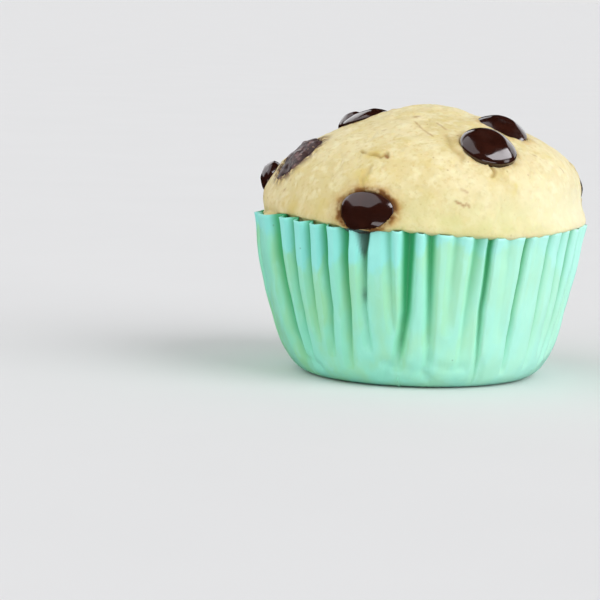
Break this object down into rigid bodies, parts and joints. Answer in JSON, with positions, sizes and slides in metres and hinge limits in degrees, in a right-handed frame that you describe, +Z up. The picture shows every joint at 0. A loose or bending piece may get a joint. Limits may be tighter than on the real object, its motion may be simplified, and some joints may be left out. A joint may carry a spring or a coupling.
{
  "type": "chocolate chip muffin",
  "caption": "Domed pale muffin studded with dark chocolate chips, baked in a flared, pleated mint green paper liner with a flat base.",
  "frame": {"origin": "centre of the flat underside that the muffin stands on", "axes": "+Z up through the crown of the dome; -Y is the front, with one chip at the rim left of centre; +X is the front's right"},
  "size_m": [0.0724, 0.0724, 0.0587],
  "materials": {
    "crumb": null,
    "liner": "mint green greaseproof paper, satin, greasy where it touches the crumb",
    "chocolate": null
  },
  "bodies": {
    "root": {"muffin_crumb": "crumb", "paper_liner": "liner", "chip_front_rim": "chocolate", "chip_upper_right_front": "chocolate", "chip_upper_right_back": "chocolate", "chip_left_melted": "chocolate", "chip_left_edge": "chocolate", "chip_upper_left_back": "chocolate", "chip_upper_left_crest": "chocolate", "chip_right_edge": "chocolate", "chip_back_low_right": "chocolate", "chip_back_high_right": "chocolate", "chip_back_low": "chocolate", "chip_back_high": "chocolate", "chip_back_low_left": "chocolate"}
  },
  "joints": []
}
